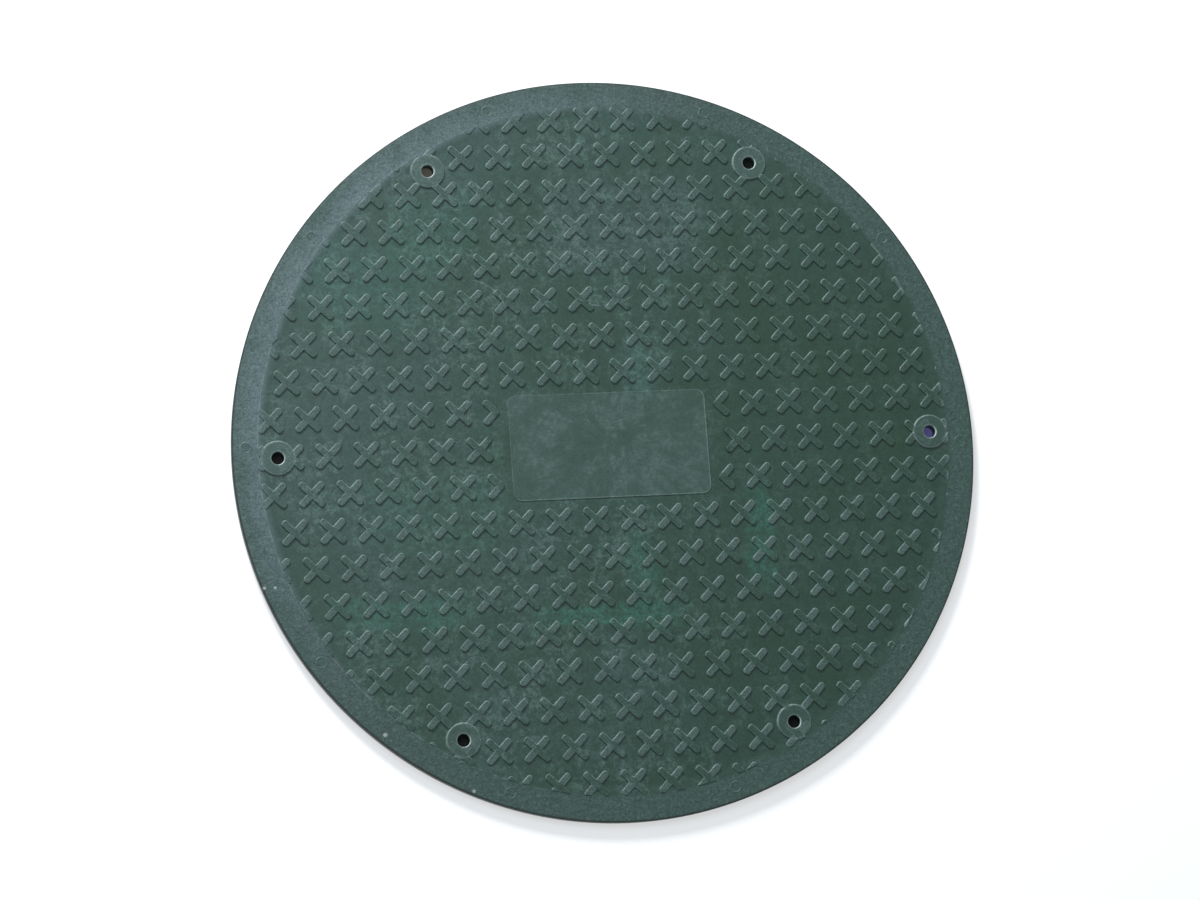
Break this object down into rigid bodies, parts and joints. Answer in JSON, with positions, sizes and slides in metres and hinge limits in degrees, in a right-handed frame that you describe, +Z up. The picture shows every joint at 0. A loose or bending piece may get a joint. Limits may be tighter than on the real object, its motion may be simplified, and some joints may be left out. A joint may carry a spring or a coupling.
{
  "type": "sump basin cover",
  "caption": "Round moulded bolt-down cover with a raised rim, an anti-slip tread of small crosses, bolt bosses and a bare nameplate panel; it closes the top of a sump basin.",
  "frame": {"origin": "centre of the flat underside", "axes": "+Z up through the tread, +X along the nameplate panel through a bolt hole, +Y across the panel towards its upper edge"},
  "size_m": [0.7111, 0.7112, 0.0127],
  "materials": {
    "moulded_green": "matt moulded plastic, dark grey-green, weathered"
  },
  "bodies": {
    "root": {"cover": "moulded_green"}
  },
  "joints": []
}
